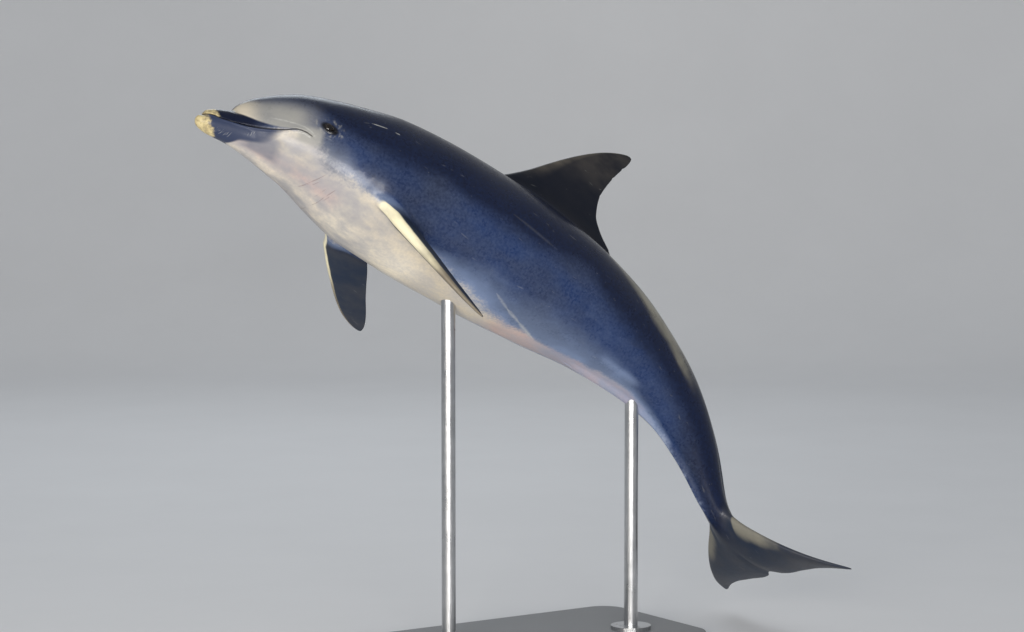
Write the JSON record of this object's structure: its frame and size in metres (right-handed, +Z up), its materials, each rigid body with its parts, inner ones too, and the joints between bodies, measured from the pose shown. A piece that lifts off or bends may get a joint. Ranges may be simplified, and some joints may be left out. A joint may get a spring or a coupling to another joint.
{
  "type": "bottlenose dolphin",
  "caption": "Life-size still bottlenose dolphin in a leap, dark back and cream belly, held over the floor by a flat base plate and upright steel rods.",
  "frame": {"origin": "centre of the bounding box's footprint, on the floor under the base plate", "axes": "+Z up; the head points to -X and the flukes to +X; the left flank faces -Y"},
  "size_m": [1.8838, 0.9466, 1.6738],
  "materials": {
    "skin_upper": "smooth wet skin, slate grey with a darker cape and a cream belly",
    "skin_pale": "smooth wet skin, cream to pink grey",
    "skin_fins": "smooth wet skin, near black navy",
    "eye": "glossy dark brown eye",
    "stand_paint": "satin dark grey paint",
    "stand_steel": "brushed steel"
  },
  "bodies": {
    "root": {"head": "skin_upper", "lower_jaw": "skin_pale", "chest": "skin_upper", "loin": "skin_upper", "tail_stock": "skin_upper", "dorsal_fin": "skin_fins", "flipper_left": "skin_fins", "flipper_right": "skin_fins", "fluke_left": "skin_fins", "fluke_right": "skin_fins", "eye_left": "eye", "eye_right": "eye", "stand_base": "stand_paint", "stand_flange_front": "stand_steel", "stand_flange_rear": "stand_steel", "stand_rod_front": "stand_steel", "stand_rod_rear": "stand_steel"}
  },
  "joints": []
}
